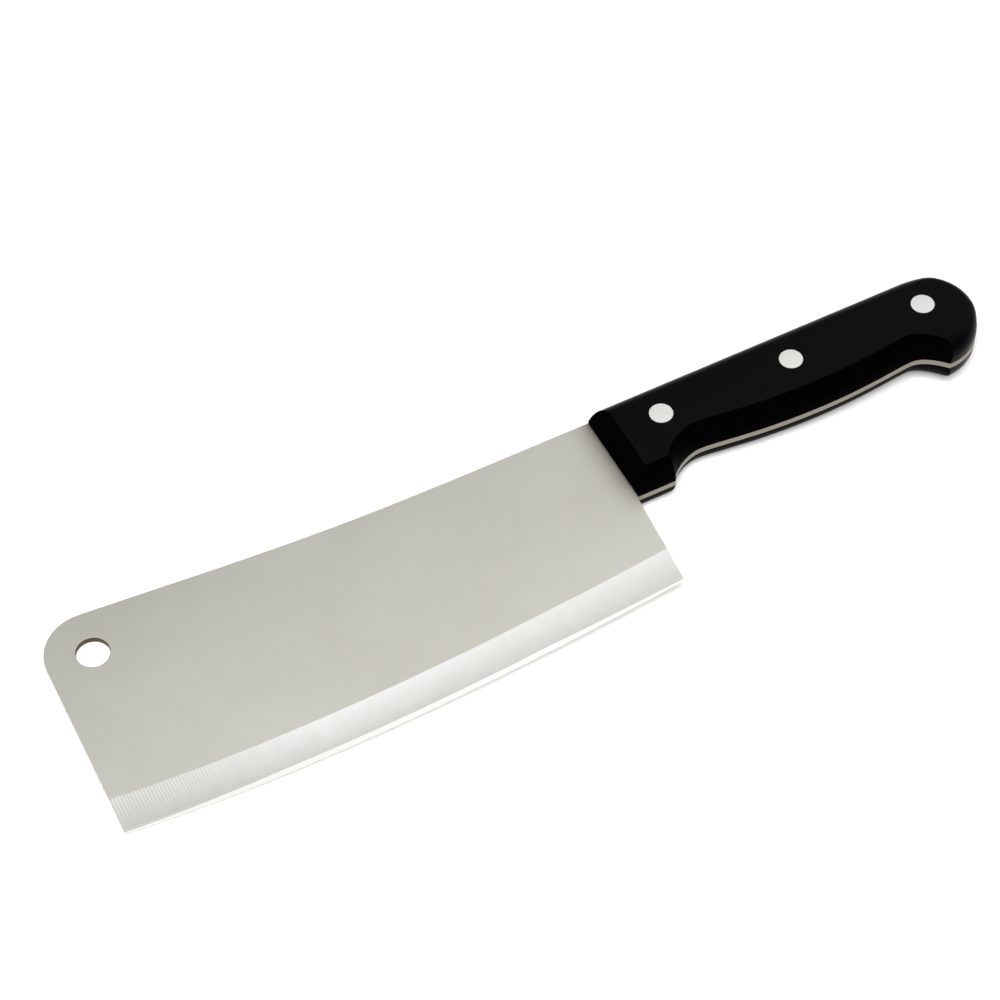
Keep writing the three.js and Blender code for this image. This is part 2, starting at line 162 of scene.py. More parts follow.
satin_steel, tree, place = new_finish("satin_stainless_steel")
grit = scratches(tree, place, GRIT_SQUEEZE)
clouds = {"Vector": place, "Scale": 1 / CLOUD_SIZE}
clouds |= {"Detail": CLOUD_DETAIL, "Roughness": CLOUD_ROUGHNESS}
cloud = add_node(tree, "TexNoise", "Fac", clouds)
streaks = {0: grit, 1: GRIT_TONE, 2: cloud}
streaked = add_node(tree, "Math", "Value", streaks, operation="MULTIPLY_ADD")
tones = {MIX_FACTOR: streaked, MIX_FIRST: linear("#bebcaf"), MIX_SECOND: linear("#d2d1ca")}
open_tone = add_node(tree, "Mix", MIXED, tones, data_type="RGBA")
print("grit lines drawn", GRIT_SPACING / MM, "mm apart")

# %% [markdown]
# Over the last centimetre before the scales the steel is painted darker: painted shade and painted
# reflection of the black handle, with a tone that falls off by the distance. That may be shade
# from the handle or a corner that a polisher hardly reaches. The shader's anisotropy spreads the
# reflection: its tangent follows a flat map that is laid over the blade, one way for all of it.

# %% Satin steel: painted shade by the scales, and shader
SHADE_REACH = 10 * MM
SHADE_FOOT = 6 * MM
SHADE_POWER = 2.5
SATIN_ROUGHNESS = {"To Min": 0.42, "To Max": 0.47}
SATIN_BUMP = 0.06
GRIT_DEPTH = 0.01 * MM
GRIT_SPREAD = 0.75
GRAIN_MAP = "grain"
ALONG_GRAIN = {"direction_type": "UV_MAP", "uv_map": GRAIN_MAP}

axes = add_node(tree, "SeparateXYZ", None, {"Vector": place}).outputs
approach = {"Value": axes["X"]}
approach |= {"From Min": handle_low.x - SHADE_REACH, "From Max": handle_low.x}
close = add_node(tree, "MapRange", "Result", approach)
handle_shade = add_node(tree, "Math", "Value", {0: close, 1: SHADE_POWER}, operation="POWER")
foot = {"Value": axes["Y"]}
foot |= {"From Min": handle_low.y - SHADE_FOOT, "From Max": handle_low.y + SHADE_FOOT}
beside = add_node(tree, "MapRange", "Result", foot)
painted_handle_shade = add_node(tree, "Math", "Value", {0: handle_shade, 1: beside}, operation="MULTIPLY")
# painted shade: beside the scales the steel is mixed towards this darker tone
tones = {MIX_FACTOR: painted_handle_shade, MIX_FIRST: open_tone, MIX_SECOND: linear("#8b8880")}
shine = {"Value": grit, **NOISE_SPAN, **SATIN_ROUGHNESS}
relief = {"Height": grit, "Strength": SATIN_BUMP, "Distance": GRIT_DEPTH}
close_finish(tree, {
    "Base Color": add_node(tree, "Mix", MIXED, tones, data_type="RGBA"),
    "Metallic": 1.0,
    "Roughness": add_node(tree, "MapRange", "Result", shine),
    "Anisotropic": GRIT_SPREAD,
    "Tangent": add_node(tree, "Tangent", "Tangent", {}, **ALONG_GRAIN),
    "Normal": add_node(tree, "Bump", "Normal", relief),
})
print("finish:", satin_steel.name)

# %% [markdown]
# ## Ground steel: the hollow bevel
#
# The wide bevel was hollowed on a wheel while the blade moved past it in small steps. That leaves
# upright lines about a millimetre apart, clear near the toe and faint from there to the heel, and
# strongest under the bevel's upper line, where the wheel bit deepest. A wave texture draws the
# steps. The place along the blade fades them one way and the height on the bevel the other way. The
# blade's thickness gives that height: it grows slowly at the foot of the hollow and fast at the
# top, and a power evens that out.

# %% Ground bevel steel: height and lines
WHEEL_STEP = 0.93 * MM
WAVE_UNIT = 2 * pi / 20  # length of one wave of the texture at a scale of 1
WAVE_UNEVEN = {"Distortion": 1.2, "Detail": 1.0, "Detail Scale": 0.3}
FADE_START = blade_low.x + 12 * MM
FADE_END = blade_low.x + 64 * MM
FADE_LEFT = 0.05  # how much of the lines is left from there to the heel
BEVEL_FOOT = 0.34 * MM  # half of the blade's thickness at the foot of the bevel
BEVEL_TOP = 1.0 * MM  # and at its top
HOLLOW_POWER = 0.4
LINE_FOOT, LINE_TOP = 0.3, 0.6  # strength of the lines at the foot and at the top


def distance_from(tree, position, middle):
    offset = add_node(tree, "Math", "Value", {0: position, 1: middle}, operation="SUBTRACT")
    return add_node(tree, "Math", "Value", {0: offset}, operation="ABSOLUTE")


ground_steel, tree, place = new_finish("wheel_ground_steel")
axes = add_node(tree, "SeparateXYZ", None, {"Vector": place}).outputs
depth = distance_from(tree, axes["Z"], blade_middle)
hollow = {"Value": depth, "From Min": BEVEL_FOOT, "From Max": BEVEL_TOP}
rise = add_node(tree, "MapRange", "Result", hollow)
height = add_node(tree, "Math", "Value", {0: rise, 1: HOLLOW_POWER}, operation="POWER")
wave = {"Vector": place, "Scale": WAVE_UNIT / WHEEL_STEP, **WAVE_UNEVEN}
steps = add_node(tree, "TexWave", "Fac", wave, wave_type="BANDS", bands_direction="X")
fade = {"Value": axes["X"], "From Min": FADE_START, "From Max": FADE_END}
fade |= {"To Min": 1.0, "To Max": FADE_LEFT}
along = add_node(tree, "MapRange", "Result", fade)
bites = {"Value": height, "To Min": LINE_FOOT, "To Max": LINE_TOP}
bite = add_node(tree, "MapRange", "Result", bites)
shown = add_node(tree, "Math", "Value", {0: along, 1: bite}, operation="MULTIPLY")
lines = add_node(tree, "Math", "Value", {0: steps, 1: shown}, operation="MULTIPLY")
print("wheel lines", WHEEL_STEP / MM, "mm apart")

# %% [markdown]
# The ground steel is painted brightest under the upper line and darker down to the edge and towards
# the heel, a painted reflection of the lit hollow; it is also darker towards the toe, and has faint
# smoky spots. The height sets the painted tone, a noise adds the spots, and the place along the
# blade darkens both ends.

# %% Ground bevel steel: tones and shader
HEEL_LIGHT_SHARE = 0.75  # how much of the upper brightness is left at the heel
SMOKE_SIZE = 4 * MM
SMOKE_DETAIL = 6.0
SMOKE_ROUGHNESS = 0.7
SMOKE_TONE = 0.09  # how far the spots go up and down in tone
TOE_DARKENING = 0.15  # how much of the dull tone is mixed in at the toe
GROUND_ROUGHNESS = {"To Min": 0.36, "To Max": 0.41}
LINE_BUMP = 0.2

heelward_shade = {"Value": axes["X"], "From Min": FADE_END, "From Max": handle_low.x}
heelward_shade |= {"To Min": 1.0, "To Max": HEEL_LIGHT_SHARE}
light_left = add_node(tree, "MapRange", "Result", heelward_shade)
clear = add_node(tree, "Math", "Value", {0: height, 1: light_left}, operation="MULTIPLY")
smokes = {"Vector": place, "Scale": 1 / SMOKE_SIZE}
smokes |= {"Detail": SMOKE_DETAIL, "Roughness": SMOKE_ROUGHNESS}
smoke = add_node(tree, "TexNoise", "Fac", smokes)
swing = {"Value": smoke, **NOISE_SPAN, "To Min": -SMOKE_TONE, "To Max": SMOKE_TONE}
spots = add_node(tree, "MapRange", "Result", swing)
smoky = add_node(tree, "Math", "Value", {0: clear, 1: spots}, operation="ADD")
# painted reflection: lighter under the bevel's upper line, darker to the edge and the heel
tones = {MIX_FACTOR: smoky, MIX_FIRST: linear("#c2c2be"), MIX_SECOND: linear("#e6e6e4")}
painted_light_tone = add_node(tree, "Mix", MIXED, tones, data_type="RGBA")
tones = {MIX_FACTOR: lines, MIX_FIRST: painted_light_tone, MIX_SECOND: linear("#b4b4b0")}
lined_tone = add_node(tree, "Mix", MIXED, tones, data_type="RGBA")
toe_darkening = add_node(tree, "Math", "Value", {0: along, 1: TOE_DARKENING}, operation="MULTIPLY")
tones = {MIX_FACTOR: toe_darkening, MIX_FIRST: lined_tone, MIX_SECOND: linear("#a8a8a4")}
grit = scratches(tree, place, GRIT_SQUEEZE)
shine = {"Value": grit, **NOISE_SPAN, **GROUND_ROUGHNESS}
relief = {"Height": lines, "Strength": LINE_BUMP, "Distance": GRIT_DEPTH}
close_finish(tree, {
    "Base Color": add_node(tree, "Mix", MIXED, tones, data_type="RGBA"),
    "Metallic": 1.0,
    "Roughness": add_node(tree, "MapRange", "Result", shine),
    "Anisotropic": GRIT_SPREAD,
    "Tangent": add_node(tree, "Tangent", "Tangent", {}, **ALONG_GRAIN),
    "Normal": add_node(tree, "Bump", "Normal", relief),
})
print("finish:", ground_steel.name)

# %% [markdown]
# ## Honed steel: the edge
#
# The last millimetre and a half at the edge was honed, so it is the brightest steel on the blade.
# The stone took less off towards toe and heel, so the bright strip is narrower there. How deep it
# got is read from the blade's thickness, and how far along it is from the place.

# %% Honed edge
HONE_MIDDLE = (blade_low.x + handle_low.x) / 2
HONE_END = HONE_MIDDLE - blade_low.x
HONE_TAPER = 50 * MM
HONE_DEPTH = 0.36 * MM  # half of the blade's thickness where the bright strip ends
HONE_NARROW = 0.45  # how much of that is left at toe and heel
HONED_ROUGHNESS = {"To Min": 0.18, "To Max": 0.24}

honed_steel, tree, place = new_finish("honed_steel")
grit = scratches(tree, place, GRIT_SQUEEZE)
axes = add_node(tree, "SeparateXYZ", None, {"Vector": place}).outputs
depth = distance_from(tree, axes["Z"], blade_middle)
off_centre = distance_from(tree, axes["X"], HONE_MIDDLE)
reach = {"Value": off_centre, "From Min": HONE_END - HONE_TAPER, "From Max": HONE_END}
reach |= {"To Min": HONE_DEPTH, "To Max": HONE_NARROW * HONE_DEPTH}
limit = add_node(tree, "MapRange", "Result", reach)
honed = add_node(tree, "Math", "Value", {0: depth, 1: limit}, operation="LESS_THAN")
tones = {MIX_FACTOR: honed, MIX_FIRST: linear("#c4c3bd"), MIX_SECOND: linear("#e9e8e4")}
shine = {"Value": grit, **NOISE_SPAN, **HONED_ROUGHNESS}
close_finish(tree, {
    "Base Color": add_node(tree, "Mix", MIXED, tones, data_type="RGBA"),
    "Metallic": 1.0,
    "Roughness": add_node(tree, "MapRange", "Result", shine),
})
print("finish:", honed_steel.name)

# %% [markdown]
# ## Trued, cut and punched steel
#
# The rim of the blade was trued after stamping and is about as light as the flats. The thin line of
# tang that shows between the scales was cut level with the plastic, so it is duller and slightly
# warmer. The wall of the hanging hole was only punched, so it is rough; its dark brown is painted
# shade, for the dark gap under the blade that it mirrors. One recipe serves all three: a fine noise
# rubs the tone, the roughness and the height.

# %% Rim, tang and punched hole
RUB_SIZE = 1.2 * MM
RUB_DETAIL = 4.0
RUB_SWING = 0.1  # how far the roughness goes up and down
RUB_BUMP = 0.15
RUB_DEPTH = 0.05 * MM


def rough_steel(name, first, second, roughness):
    finish, tree, place = new_finish(name)
    noise = {"Vector": place, "Scale": 1 / RUB_SIZE, "Detail": RUB_DETAIL}
    rub = add_node(tree, "TexNoise", "Fac", noise)
    tones = {MIX_FACTOR: rub, MIX_FIRST: linear(first), MIX_SECOND: linear(second)}
    shine = {"Value": rub, "To Min": roughness - RUB_SWING, "To Max": roughness + RUB_SWING}
    relief = {"Height": rub, "Strength": RUB_BUMP, "Distance": RUB_DEPTH}
    close_finish(tree, {
        "Base Color": add_node(tree, "Mix", MIXED, tones, data_type="RGBA"),
        "Metallic": 1.0,
        "Roughness": add_node(tree, "MapRange", "Result", shine),
        "Normal": add_node(tree, "Bump", "Normal", relief),
    })
    return finish


trued_steel = rough_steel("trued_steel_rim", "#c4c2ba", "#d6d5cf", roughness=0.4)
cut_steel = rough_steel("cut_steel_tang", "#837d72", "#989287", roughness=0.44)
# painted shade: the hole's wall is painted dark brown for the dark gap it mirrors
hole_wall_painted_shade = rough_steel("hole_wall_painted_shade", "#4c4030", "#6c5e4c", roughness=0.55)
print("finishes:", trued_steel.name, cut_steel.name, hole_wall_painted_shade.name)

# %% [markdown]
# ## The blade
#
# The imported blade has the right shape, but its mesh is loose triangles with knife-sharp edges
# everywhere. A finished copy is made instead: the copy is merged, flat triangles are dissolved into
# whole faces, and the edges of spine, tip, toe, heel and hole are broken with a small bevel, as a
# polisher would. The helpers for that also serve the scales, and one more makes an object of a
# shape.

# %% Shape helpers
MERGE_DISTANCE = 0.001 * MM
FLAT_ANGLE = radians(0.1)
EDGE_SEGMENTS = 3


def merged_copy(node):
    shape = bmesh.new()
    shape.from_mesh(frame["nodes"][node].data)
    bmesh.ops.remove_doubles(shape, verts=shape.verts, dist=MERGE_DISTANCE)
    bmesh.ops.dissolve_limit(
        shape, angle_limit=FLAT_ANGLE, verts=shape.verts, edges=shape.edges, delimit={"NORMAL"}
    )
    return shape


def bevelled(shape, edges, width):
    bmesh.ops.bevel(
        shape, geom=edges, offset=width, offset_type="OFFSET", affect="EDGES",
        segments=EDGE_SEGMENTS, profile=0.5, material=-1, clamp_overlap=True,
    )


def new_object(name, shape, finishes):
    mesh = bpy.data.meshes.new(name)
    shape.to_mesh(mesh)
    shape.free()
    for finish in finishes:
        mesh.materials.append(finish)
    thing = bpy.data.objects.new(name, mesh)
    bpy.context.scene.collection.objects.link(thing)
    return thing


def make_piece(name, shape, finishes, node):
    piece = new_object(name, shape, finishes)
    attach(piece, "root")
    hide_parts(node)
    return piece


print("shape helpers ready")

# %% [markdown]
# The cutting edge keeps its grind untouched. Each face takes its finish from how far it leans: the
# flats lie level, the hollow bevel leans up to seven degrees, the hone eleven. The upright walls
# take theirs from where they are: in the hole, between the scales or round the blade.

# %% Finish of each face of the blade
FLAT_LEAN = radians(0.4)
GROUND_LEAN = radians(8.5)
HONED_LEAN = radians(16)
HOLE_REACH = 8 * MM
TANG_MARGIN = 0.5 * MM
FLAT, GROUND, HONED, RIM, TANG, HOLE = range(6)
blade_finishes = [satin_steel, ground_steel, honed_steel, trued_steel, cut_steel, hole_wall_painted_shade]

hole_box = frame["record"]["physics"]["openings"][0]["box_m"]
hole_middle = (Vector(hole_box[0]) + Vector(hole_box[1])) / 2


def blade_finish(face):
    lean = face.normal.angle(Vector((0, 0, 1 if face.normal.z > 0 else -1)))
    if lean < FLAT_LEAN:
        return FLAT
    if lean < GROUND_LEAN:
        return GROUND
    if lean < HONED_LEAN:
        return HONED
    middle = face.calc_center_median()
    if (middle - hole_middle).xy.length < HOLE_REACH:
        return HOLE
    held = middle.x > handle_low.x and middle.y > handle_low.y - TANG_MARGIN
    return TANG if held else RIM


print("hanging hole at", [round(place / MM, 1) for place in hole_middle.xy], "mm")

# %% Blade
BROKEN_EDGE = 0.15 * MM
SQUARE_EDGE = radians(60)
RIM_SHARE = 0.9  # share of half the blade's thickness above which an edge is an outer one

shape = merged_copy("blade")
rim_height = RIM_SHARE * (blade_high.z - blade_middle)
outer_edges = [
    edge
    for edge in shape.edges
    if edge.calc_face_angle(0) > SQUARE_EDGE
    and all(vert.co.x < handle_low.x for vert in edge.verts)
    and all(abs(vert.co.z - blade_middle) > rim_height for vert in edge.verts)
]
bevelled(shape, outer_edges, BROKEN_EDGE)
grain_map = shape.loops.layers.uv.new(GRAIN_MAP)
for face in shape.faces:
    face.material_index = blade_finish(face)
    face.smooth = True
    for corner in face.loops:
        corner[grain_map].uv = corner.vert.co.xy
for edge in shape.edges:
    edge.smooth = len({face.material_index for face in edge.link_faces}) == 1
blade = make_piece("finished_blade", shape, blade_finishes, "blade")
print("blade faces:", len(blade.data.polygons), "edges broken:", len(outer_edges))

# %% [markdown]
# ## Black acetal: the scales
#
# Acetal is a dense plastic, here dyed black. The faces, the spine and the butt have a satin sheen
# and read as a very dark grey. The front slope, the guard and the belly are a copy of the same
# acetal with far less sheen, so they read as black: painted shade for the dark room in front that
# those walls mirror. Both are one recipe: a fine grain breaks up the reflection, and the shader's
# specular level sets how much there is to break up. It is matched to the blacks and lies below the
# usual level.

# %% Black acetal
MOULD_GRAIN = 0.4 * MM
MOULD_CLOUD = 15 * MM
GRAIN_DETAIL = 3.0
MOULD_DETAIL = 2.0
MOULD_SWING = 0.04  # how far the roughness goes up and down
MOULD_BUMP = 0.08
MOULD_DEPTH = 0.02 * MM


def acetal(name, first, second, roughness, sheen):
    finish, tree, place = new_finish(name)
    grains = {"Vector": place, "Scale": 1 / MOULD_GRAIN, "Detail": GRAIN_DETAIL}
    grain = add_node(tree, "TexNoise", "Fac", grains)
    clouds = {"Vector": place, "Scale": 1 / MOULD_CLOUD, "Detail": MOULD_DETAIL}
    cloud = add_node(tree, "TexNoise", "Fac", clouds)
    tones = {MIX_FACTOR: cloud, MIX_FIRST: linear(first), MIX_SECOND: linear(second)}
    shine = {"Value": grain, **NOISE_SPAN}
    shine |= {"To Min": roughness - MOULD_SWING, "To Max": roughness + MOULD_SWING}
    relief = {"Height": grain, "Strength": MOULD_BUMP, "Distance": MOULD_DEPTH}
    close_finish(tree, {
        "Base Color": add_node(tree, "Mix", MIXED, tones, data_type="RGBA"),
        "Roughness": add_node(tree, "MapRange", "Result", shine),
        "Specular IOR Level": sheen,
        "Normal": add_node(tree, "Bump", "Normal", relief),
    })
    return finish


satin_acetal = acetal("satin_black_acetal", "#010102", "#030304", roughness=0.28, sheen=0.045)
# painted shade: the walls' copy of the acetal has far less sheen, so it reads black
painted_shade_acetal = acetal("painted_shade_black_acetal", "#010101", "#020202", roughness=0.4, sheen=0.006)
print("finishes:", satin_acetal.name, painted_shade_acetal.name)

# %% [markdown]
# ## The scales
#
# Each scale is a copy of its solid too. Its long edges are already rounded in the solid, so only
# the corners that run across them are left to soften: where the sloping front meets the guard and
# the spine side, and the ridge at the hook. Driving a rivet closes the plastic round its head, so
# the wall of each sink is drawn in until it nearly touches. The border between the satin acetal
# and its painted-shade copy follows the edge round and, at the butt, the hook's ridge.

# %% Sinks and finishes of the scales
HEAD_RADIUS = 3.75 * MM
SEAT_GAP = 0.04 * MM
SINK_REACH = 4.5 * MM
RIVET_PLACES = ("front", "middle", "rear")
# Below, matt means the painted-shade copy of the acetal and buffed means the satin one.
FRONT_LEAN = -0.5  # how far a normal points to the tip on the matt front slope
WALL_LEAN = 0.89  # and up or down, at most, on the matt walls of guard and belly
HOOK_RIDGE = handle_high.x - 15.9 * MM  # where these end and the buffed butt starts
SATIN_FINISH, SHADED_FINISH = range(2)
scale_finishes = [satin_acetal, painted_shade_acetal]


def close_sinks(shape):
    for position in RIVET_PLACES:
        low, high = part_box("rivet_sleeve_" + position)
        middle = (low + high) / 2
        middle.z = 0
        sink = [
            vert for vert in shape.verts if HEAD_RADIUS < (vert.co - middle).xy.length < SINK_REACH
        ]
        radius = max((vert.co - middle).xy.length for vert in sink)
        tight = (HEAD_RADIUS + SEAT_GAP) / radius
        around = Matrix.Translation(-middle)
        bmesh.ops.scale(shape, verts=sink, vec=(tight, tight, 1), space=around)


def scale_finish(face):
    middle = face.calc_center_median()
    wall = abs(face.normal.z) < WALL_LEAN and middle.x < HOOK_RIDGE
    underneath = face.normal.y < 0 or middle.y < (handle_low.y + handle_high.y) / 2
    front = face.normal.x < FRONT_LEAN
    return SHADED_FINISH if front or wall and underneath else SATIN_FINISH


print("sinks drawn in to", (HEAD_RADIUS + SEAT_GAP) / MM, "mm")

# %% [markdown]
# A weighted normal modifier then keeps the big face of a scale truly flat while the rounds around
# it shade smoothly.

# %% Scales
MOULDED_CORNER = 0.5 * MM
CORNER_ANGLE = radians(25)
CREASE_ANGLE = radians(40)

for node in ("front_scale", "back_scale"):
    shape = merged_copy(node)
    corners = [
        edge
        for edge in shape.edges
        if edge.calc_face_angle(0) > CORNER_ANGLE
        and abs(edge.verts[0].co.z - edge.verts[1].co.z) > MERGE_DISTANCE
        and edge.verts[0].co.xy != edge.verts[1].co.xy
    ]
    bevelled(shape, corners, MOULDED_CORNER)
    close_sinks(shape)
    for face in shape.faces:
        face.material_index = scale_finish(face)
        face.smooth = True
    for edge in shape.edges:
        edge.smooth = edge.calc_face_angle(0) < CREASE_ANGLE
    scale = make_piece("finished_" + node, shape, scale_finishes, node)
    even = scale.modifiers.new("even_normals", "WEIGHTED_NORMAL")
    even.keep_sharp = True
    print(scale.name, "faces:", len(scale.data.polygons), "corner edges:", len(corners))

# %% [markdown]
# ## Rivet metal
#
# After driving, the aluminium heads were ground level with the plastic on a fine belt. That leaves
# a bright, slightly mottled disc with short scratches one way. The scratches are drawn coarser than
# a fine belt leaves them, so that they show.

# %% Rivet metal
SCRATCH_SPACING = 0.25 * MM
SCRATCH_LENGTH = 4 * MM
SCRATCH_SQUEEZE = (1 / SCRATCH_SPACING, 1 / SCRATCH_LENGTH, 1 / SCRATCH_LENGTH)
SCRATCH_BUMP = 0.12
SCRATCH_DEPTH = 0.02 * MM
MOTTLE_SIZE = 1.5 * MM
MOTTLE_DETAIL = 3.0
RIVET_ROUGHNESS = {"To Min": 0.36, "To Max": 0.46}

rivet_metal, tree, place = new_finish("ground_rivet_aluminium")
scratch = scratches(tree, place, SCRATCH_SQUEEZE)
mottles = {"Vector": place, "Scale": 1 / MOTTLE_SIZE, "Detail": MOTTLE_DETAIL}
mottle = add_node(tree, "TexNoise", "Fac", mottles)
tones = {MIX_FACTOR: mottle, MIX_FIRST: linear("#d7d7d3"), MIX_SECOND: linear("#e7e7e4")}
shine = {"Value": scratch, **NOISE_SPAN, **RIVET_ROUGHNESS}
relief = {"Height": scratch, "Strength": SCRATCH_BUMP, "Distance": SCRATCH_DEPTH}
close_finish(tree, {
    "Base Color": add_node(tree, "Mix", MIXED, tones, data_type="RGBA"),
    "Metallic": 1.0,
    "Roughness": add_node(tree, "MapRange", "Result", shine),
    "Normal": add_node(tree, "Bump", "Normal", relief),
})
print("finish:", rivet_metal.name)

# %% [markdown]
# ## The rivets
#
# A cutlery rivet has two halves. The sleeve's flat head lies in the front scale and its tube runs
# through the handle. The pin's head lies in the back scale, and its shank is driven up the tube.
# Both are turned parts, so each is half a profile that is spun round the rivet's axis. The head has
# a hardly seen crown and a broken rim.

# %% Rivet helpers
HEAD_THICKNESS = 2 * MM
HEAD_CROWN = 0.08 * MM
RIM_BREAK = 0.15 * MM
RIVET_STEPS = 64
TURNED_EDGE = radians(30)


def head_profile(top, down):
    rim = top + down * HEAD_CROWN
    return [
        (0, top),
        (HEAD_RADIUS / 2, top + down * HEAD_CROWN / 4),  # a round crown drops a quarter here
        (HEAD_RADIUS - RIM_BREAK, rim),
        (HEAD_RADIUS, rim + down * RIM_BREAK),
        (HEAD_RADIUS, top + down * HEAD_THICKNESS),
    ]


def make_rivet(node, profile):
    low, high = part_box(node)
    shape = bmesh.new()
    verts = [shape.verts.new((radius, 0, height)) for radius, height in profile]
    edges = [shape.edges.new(pair) for pair in zip(verts, verts[1:])]
    bmesh.ops.spin(
        shape, geom=verts + edges, cent=(0, 0, 0), axis=(0, 0, 1),
        angle=radians(360), steps=RIVET_STEPS, use_merge=True,
    )
    bmesh.ops.remove_doubles(shape, verts=shape.verts, dist=MERGE_DISTANCE)
    bmesh.ops.recalc_face_normals(shape, faces=shape.faces)
    middle = (low + high) / 2
    bmesh.ops.translate(shape, verts=shape.verts, vec=(middle.x, middle.y, 0))
    for face in shape.faces:
        face.smooth = True
    for edge in shape.edges:
        edge.smooth = edge.calc_face_angle(0) < TURNED_EDGE
    rivet = make_piece("finished_" + node, shape, [rivet_metal], node)
    print(rivet.name, "faces:", len(rivet.data.polygons))


print("rivets turned in", RIVET_STEPS, "steps")

# %% Rivets
SLEEVE_RADIUS = 2.5 * MM
BORE_RADIUS = 2 * MM
PIN_RADIUS = 1.7 * MM

for position in RIVET_PLACES:
    low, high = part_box("rivet_sleeve_" + position)
    seat = high.z - HEAD_THICKNESS
    tube = [(SLEEVE_RADIUS, seat), (SLEEVE_RADIUS, low.z)]
    tube += [(BORE_RADIUS, low.z), (BORE_RADIUS, seat), (0, seat)]
    make_rivet("rivet_sleeve_" + position, head_profile(high.z, -1) + tube)
    low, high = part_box("rivet_pin_" + position)
    seat = low.z + HEAD_THICKNESS
    shank = [(PIN_RADIUS, seat), (PIN_RADIUS, high.z), (0, high.z)]
    make_rivet("rivet_pin_" + position, head_profile(low.z, 1) + shank)

# %% [markdown]
# ## The table
#
# Laid down, the cleaver tips until the blade's toe and the front of the back scale touch, and the
# butt lifts a few millimetres. The part stays square in its own frame, so the table is tilted under
# it. The table is matt white. Where the camera or a mirror looks at it, a glow is added to its
# white, faint near the cleaver and full far off. So the open table is white paper, and only the
# shadow close to the cleaver stays, with no more light on the steel.

# %% Table finish
NEAR_GLOW = 0.12
FAR_GLOW = 1.0
GLOW_START = 0.3
GLOW_FULL = 1.5


def seen_directly(tree):
    rays = add_node(tree, "LightPath", None, {}).outputs
    mirrored = {0: rays["Is Glossy Ray"], 1: rays["Is Transmission Ray"]}
    either = add_node(tree, "Math", "Value", mirrored, operation="MAXIMUM")
    seen = {0: rays["Is Camera Ray"], 1: either}
    return add_node(tree, "Math", "Value", seen, operation="MAXIMUM")


white_table, tree, place = new_finish("matt_white_table")
matt = add_node(tree, "BsdfDiffuse", "BSDF", {"Color": linear("#fafaf9")})
away = add_node(tree, "VectorMath", "Value", {0: place}, operation="LENGTH")
growth = {"Value": away, "From Min": GLOW_START, "From Max": GLOW_FULL}
growth |= {"To Min": NEAR_GLOW, "To Max": FAR_GLOW}
added = add_node(tree, "MapRange", "Result", growth)
glows = {0: seen_directly(tree), 1: added}
strength = add_node(tree, "Math", "Value", glows, operation="MULTIPLY")
glow = add_node(tree, "Emission", "Emission", {"Color": WHITE, "Strength": strength})
page = add_node(tree, "AddShader", "Shader", {0: matt, 1: glow})
add_node(tree, "OutputMaterial", None, {"Surface": page})
print("finish:", white_table.name)

# %% Table
TABLE_SIZE = 16.0
TABLE_GAP = 0.02 * MM
FRONT_TOUCH = handle_low.x + 4.9 * MM
TOE_TOUCH = blade_low.x + 0.6 * MM

tilt = atan2(blade_low.z, FRONT_TOUCH - TOE_TOUCH)
turn = Matrix.Rotation(tilt, 3, "Y")
shape = bmesh.new()
bmesh.ops.create_grid(shape, x_segments=1, y_segments=1, size=TABLE_SIZE / 2)
bmesh.ops.rotate(shape, verts=shape.verts, cent=(0, 0, 0), matrix=turn)
bmesh.ops.translate(shape, verts=shape.verts, vec=(FRONT_TOUCH, 0, -TABLE_GAP))
table = new_object("table", shape, [white_table])
print("table tilted by", round(tilt / radians(1), 2), "degrees")

# %% [markdown]
# ## The tent
#
# Steel looks like what it mirrors, so photographers put shiny things in a small tent of white
# cloth. This one is a sphere, stretched along the blade, that only reflections see. Its brightness
# has no hard border. A lit sheet is brightest above the cleaver and falls away all round, so the
# hone mirrors its middle, the hollow bevel a little less and the flats its slope. The walls are dim
# in front of the edge and lighter behind the spine and the butt. The cloth is close, so each flat
# gets a little lighter from the spine to the edge, which a world at an endless distance can't do.
# The stretch keeps the tip as light as the heel.

# %% Tent cloth
TENT_STRETCH = 5
SHEET_MIDDLE = Vector((0.03, 0.22, 0.97)).normalized()
SHEET_REACH = 0.4  # closeness to the middle at which the light starts, where 1 is its middle
SHEET_FALL = 3  # how fast it gets brighter towards the middle
SHEET_RADIANCE = 0.98
LIT_SIDE = Vector((1.0, 0.3, 0.0))  # behind the butt and, less, behind the spine
WALL_START, WALL_FULL = -0.2, 0.6  # how far to that side the light starts and is full
DARK_WALL = 0.27
LIT_WALL = 0.55

white_cloth, tree, place = new_finish("tent_cloth")
unstretch = {"Vector": place, "Scale": (1 / TENT_STRETCH, 1, 1)}
round_place = add_node(tree, "Mapping", "Vector", unstretch)
look = add_node(tree, "VectorMath", "Vector", {0: round_place}, operation="NORMALIZE")
above = {0: look, 1: SHEET_MIDDLE}
near = add_node(tree, "VectorMath", "Value", above, operation="DOT_PRODUCT")
lit = add_node(tree, "MapRange", "Result", {"Value": near, "From Min": SHEET_REACH})
sheet = add_node(tree, "Math", "Value", {0: lit, 1: SHEET_FALL}, operation="POWER")
behind = {0: look, 1: LIT_SIDE}
side = add_node(tree, "VectorMath", "Value", behind, operation="DOT_PRODUCT")
walls = {"Value": side, "From Min": WALL_START, "From Max": WALL_FULL}
walls |= {"To Min": DARK_WALL, "To Max": LIT_WALL}
wall = add_node(tree, "MapRange", "Result", walls)
radiance = {0: sheet, 1: SHEET_RADIANCE, 2: wall}
strength = add_node(tree, "Math", "Value", radiance, operation="MULTIPLY_ADD")
cloth = add_node(tree, "Emission", "Emission", {"Color": WHITE, "Strength": strength})
add_node(tree, "OutputMaterial", None, {"Surface": cloth})
print("finish:", white_cloth.name)

# %% Tent
TENT_RADIUS = 0.3
TENT_DIVISIONS = 4

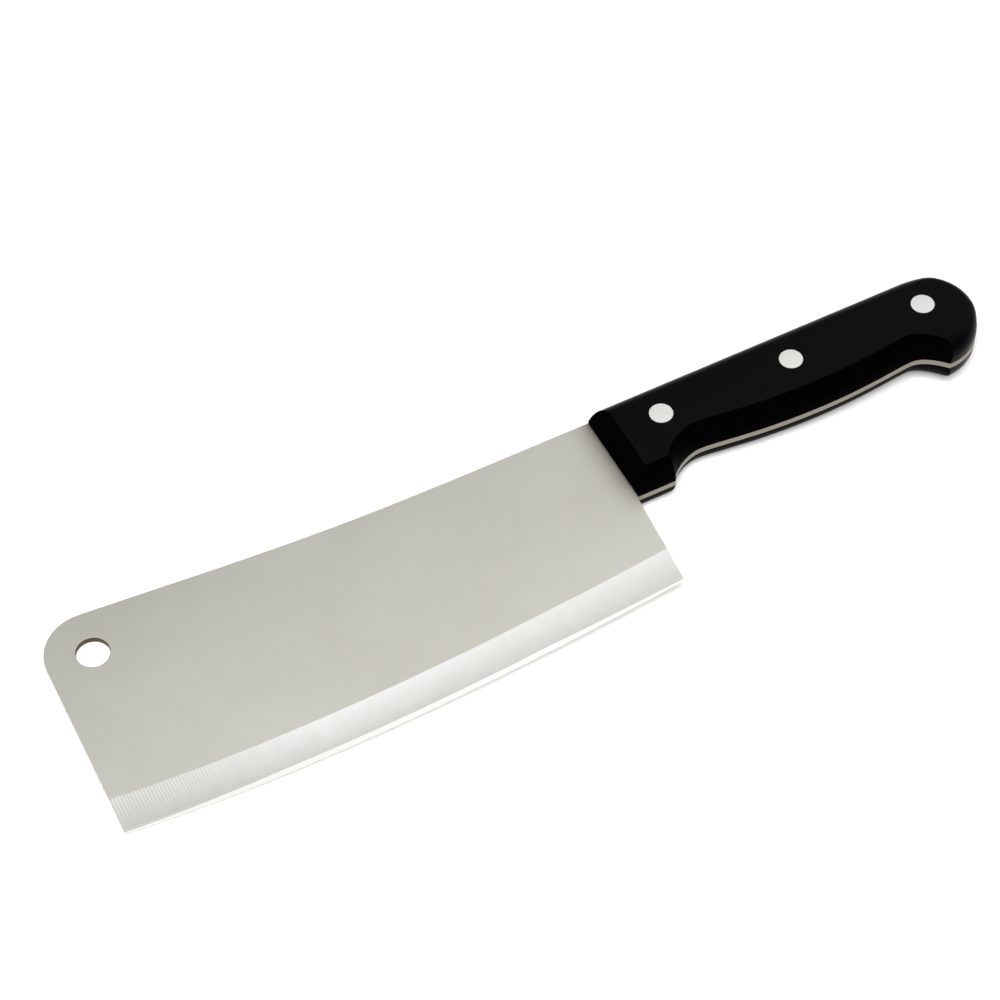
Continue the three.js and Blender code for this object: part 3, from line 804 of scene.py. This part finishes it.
shape = bmesh.new()
bmesh.ops.create_icosphere(shape, subdivisions=TENT_DIVISIONS, radius=TENT_RADIUS)
bmesh.ops.scale(shape, verts=shape.verts, vec=(TENT_STRETCH, 1, 1))
tent = new_object("tent", shape, [white_cloth])
for unseen in ("camera", "diffuse", "transmission", "volume_scatter", "shadow"):
    setattr(tent, "visible_" + unseen, False)
print("tent of", 2 * TENT_RADIUS * TENT_STRETCH, "by", 2 * TENT_RADIUS, "m")

# %% [markdown]
# ## Light
#
# What is matt, the table above all, is lit by an even room and by one softbox, high up in front of
# the edge. From the camera its shadow hides behind the cleaver, apart from a soft dark line close
# under the handle and the heel. Together they light white paper to white. The softbox is kept out
# of reflections, because the tent already stands for it there, and where the room itself is seen it
# is plain white.

# %% Room
ROOM_RADIANCE = 0.25
ROOM_SEEN = 1.0

world = bpy.data.worlds.new("room")
world.use_nodes = True
tree = world.node_tree
tree.nodes.clear()
seen = {"Value": seen_directly(tree), "To Min": ROOM_RADIANCE, "To Max": ROOM_SEEN}
strength = add_node(tree, "MapRange", "Result", seen)
room = add_node(tree, "Background", "Background", {"Color": WHITE, "Strength": strength})
add_node(tree, "OutputWorld", None, {"Surface": room})
bpy.context.scene.world = world
bpy.context.scene.view_settings.view_transform = "Standard"
print("room at a radiance of", ROOM_RADIANCE)

# %% Softbox
SOFTBOX_SIZE = 0.7
SOFTBOX_PLACE = Vector((-0.35, -0.7, 1.45))
SOFTBOX_RADIANCE = 16.6
LAMP_WATTS = 4  # watts that give an area lamp of one square metre a radiance of 1

lamp = bpy.data.lights.new("softbox", "AREA")
lamp.shape = "SQUARE"
lamp.size = SOFTBOX_SIZE
lamp.energy = SOFTBOX_RADIANCE * LAMP_WATTS * SOFTBOX_SIZE ** 2
softbox = bpy.data.objects.new("softbox", lamp)
softbox.location = SOFTBOX_PLACE
softbox.rotation_mode = "QUATERNION"
softbox.rotation_quaternion = (-SOFTBOX_PLACE).to_track_quat("-Z", "Y")
softbox.visible_camera = False
softbox.visible_glossy = False
bpy.context.scene.collection.objects.link(softbox)
print("softbox power:", round(lamp.energy, 2), "W")
